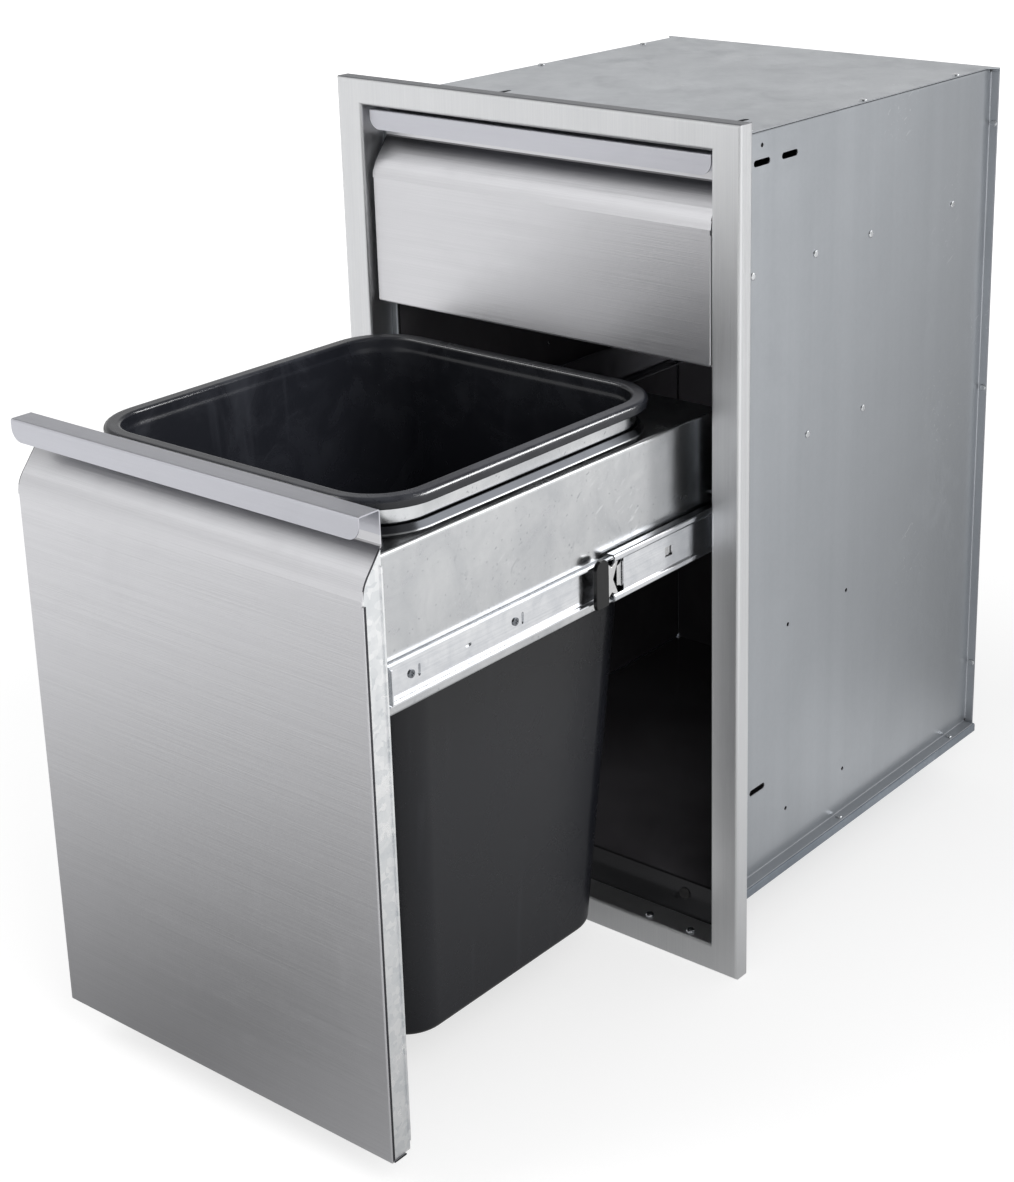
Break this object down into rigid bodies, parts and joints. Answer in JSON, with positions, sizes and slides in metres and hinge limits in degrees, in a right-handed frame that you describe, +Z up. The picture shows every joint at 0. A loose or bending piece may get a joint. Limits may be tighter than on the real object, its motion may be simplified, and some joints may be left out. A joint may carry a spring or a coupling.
{
  "type": "pull out trash cabinet",
  "caption": "Built-in steel cabinet whose lower front pulls out on telescopic slides with a lift-out waste bin, below a shallow drawer.",
  "frame": {"origin": "the middle of the face frame, in the wall plane that the frame's rear hem lies against", "axes": "+X to the user's right when facing the front, +Y into the wall, +Z up"},
  "size_m": [0.402, 0.8013, 0.7],
  "materials": {
    "frame_stainless": "fine brushed stainless steel",
    "front_stainless": "fine brushed stainless steel",
    "pan_galvanised": "galvanised sheet with small spangle",
    "box_galvanised": "galvanised sheet, satin",
    "floor_galvanised": "galvanised sheet, satin",
    "tray_galvanised": "galvanised sheet, lightly scratched",
    "slide_zinc": "bright zinc plated",
    "cage_zinc": "bright zinc plated",
    "ball_steel": "polished",
    "rivet_zinc": "zinc plated",
    "screw_zinc": "bright zinc plated",
    "bin_plastic": "black, satin",
    "guide_plastic": "black",
    "bumper_rubber": "matt"
  },
  "bodies": {
    "cabinet": {"face_frame": "frame_stainless", "side_panel_left": "box_galvanised", "side_panel_right": "box_galvanised", "top_panel": "box_galvanised", "bottom_panel": "floor_galvanised", "back_panel": "box_galvanised", "back_rivets": "rivet_zinc", "foot_rivets": "rivet_zinc", "top_rivets": "rivet_zinc", "plug_rivets": "rivet_zinc", "slide_rivets": "rivet_zinc", "door_bumpers": "bumper_rubber", "sill_screws": "screw_zinc", "trash_slide_channel_left": "slide_zinc", "trash_slide_channel_right": "slide_zinc", "drawer_slide_channel_left": "slide_zinc", "drawer_slide_channel_right": "slide_zinc"},
    "trash_drawer": {"trash_door_skin": "front_stainless", "trash_door_pan": "pan_galvanised", "trash_door_screws": "screw_zinc", "bin_tray": "tray_galvanised", "tray_front_wall": "tray_galvanised", "tray_back_wall": "tray_galvanised", "bin_ring": "tray_galvanised", "trash_slide_runner_left": "slide_zinc", "trash_slide_runner_right": "slide_zinc", "trash_runner_screws": "screw_zinc"},
    "bin": {"bin": "bin_plastic"},
    "trash_middle": {"trash_slide_middle_left": "slide_zinc", "trash_slide_middle_right": "slide_zinc", "trash_slide_guides": "guide_plastic"},
    "trash_outer_race": {"trash_outer_cages": "cage_zinc", "trash_outer_balls": "ball_steel"},
    "trash_inner_race": {"trash_inner_cages": "cage_zinc", "trash_inner_balls": "ball_steel"},
    "drawer_middle": {"drawer_slide_middle_left": "slide_zinc", "drawer_slide_middle_right": "slide_zinc", "drawer_slide_guides": "guide_plastic"},
    "drawer_outer_race": {"drawer_outer_cages": "cage_zinc", "drawer_outer_balls": "ball_steel"},
    "drawer_inner_race": {"drawer_inner_cages": "cage_zinc", "drawer_inner_balls": "ball_steel"},
    "upper_drawer": {"drawer_front_skin": "front_stainless", "drawer_front_pan": "pan_galvanised", "drawer_front_screws": "screw_zinc", "drawer_box": "tray_galvanised", "drawer_box_back": "tray_galvanised", "drawer_box_front": "tray_galvanised", "drawer_slide_runner_left": "slide_zinc", "drawer_slide_runner_right": "slide_zinc", "drawer_runner_screws": "screw_zinc"}
  },
  "joints": [
    {"name": "trash_slide", "type": "slide", "parent": "cabinet", "child": "trash_drawer", "axis": [0, -1, 0], "range_m": [-0.3773, 0.0147]},
    {"name": "bin_lift", "type": "slide", "parent": "trash_drawer", "child": "bin", "axis": [0, 0, 1], "range_m": [0, 0.008]},
    {"name": "drawer_slide", "type": "slide", "parent": "cabinet", "child": "upper_drawer", "axis": [0, -1, 0], "range_m": [0, 0.392]},
    {"name": "trash_outer_race_slide", "type": "slide", "parent": "cabinet", "child": "trash_outer_race", "axis": [0, -1, 0], "range_m": [-0.09433, 0.00368]},
    {"name": "trash_middle_slide", "type": "slide", "parent": "cabinet", "child": "trash_middle", "axis": [0, -1, 0], "range_m": [-0.18865, 0.00735]},
    {"name": "trash_inner_race_slide", "type": "slide", "parent": "cabinet", "child": "trash_inner_race", "axis": [0, -1, 0], "range_m": [-0.28298, 0.01103]},
    {"name": "drawer_outer_race_slide", "type": "slide", "parent": "cabinet", "child": "drawer_outer_race", "axis": [0, -1, 0], "range_m": [0, 0.098]},
    {"name": "drawer_middle_slide", "type": "slide", "parent": "cabinet", "child": "drawer_middle", "axis": [0, -1, 0], "range_m": [0, 0.196]},
    {"name": "drawer_inner_race_slide", "type": "slide", "parent": "cabinet", "child": "drawer_inner_race", "axis": [0, -1, 0], "range_m": [0, 0.294]}
  ],
  "couplings": [
    {"joint": "trash_outer_race_slide", "follows": "trash_slide", "ratio": 0.25},
    {"joint": "trash_middle_slide", "follows": "trash_slide", "ratio": 0.5},
    {"joint": "trash_inner_race_slide", "follows": "trash_slide", "ratio": 0.75},
    {"joint": "drawer_outer_race_slide", "follows": "drawer_slide", "ratio": 0.25},
    {"joint": "drawer_middle_slide", "follows": "drawer_slide", "ratio": 0.5},
    {"joint": "drawer_inner_race_slide", "follows": "drawer_slide", "ratio": 0.75}
  ]
}
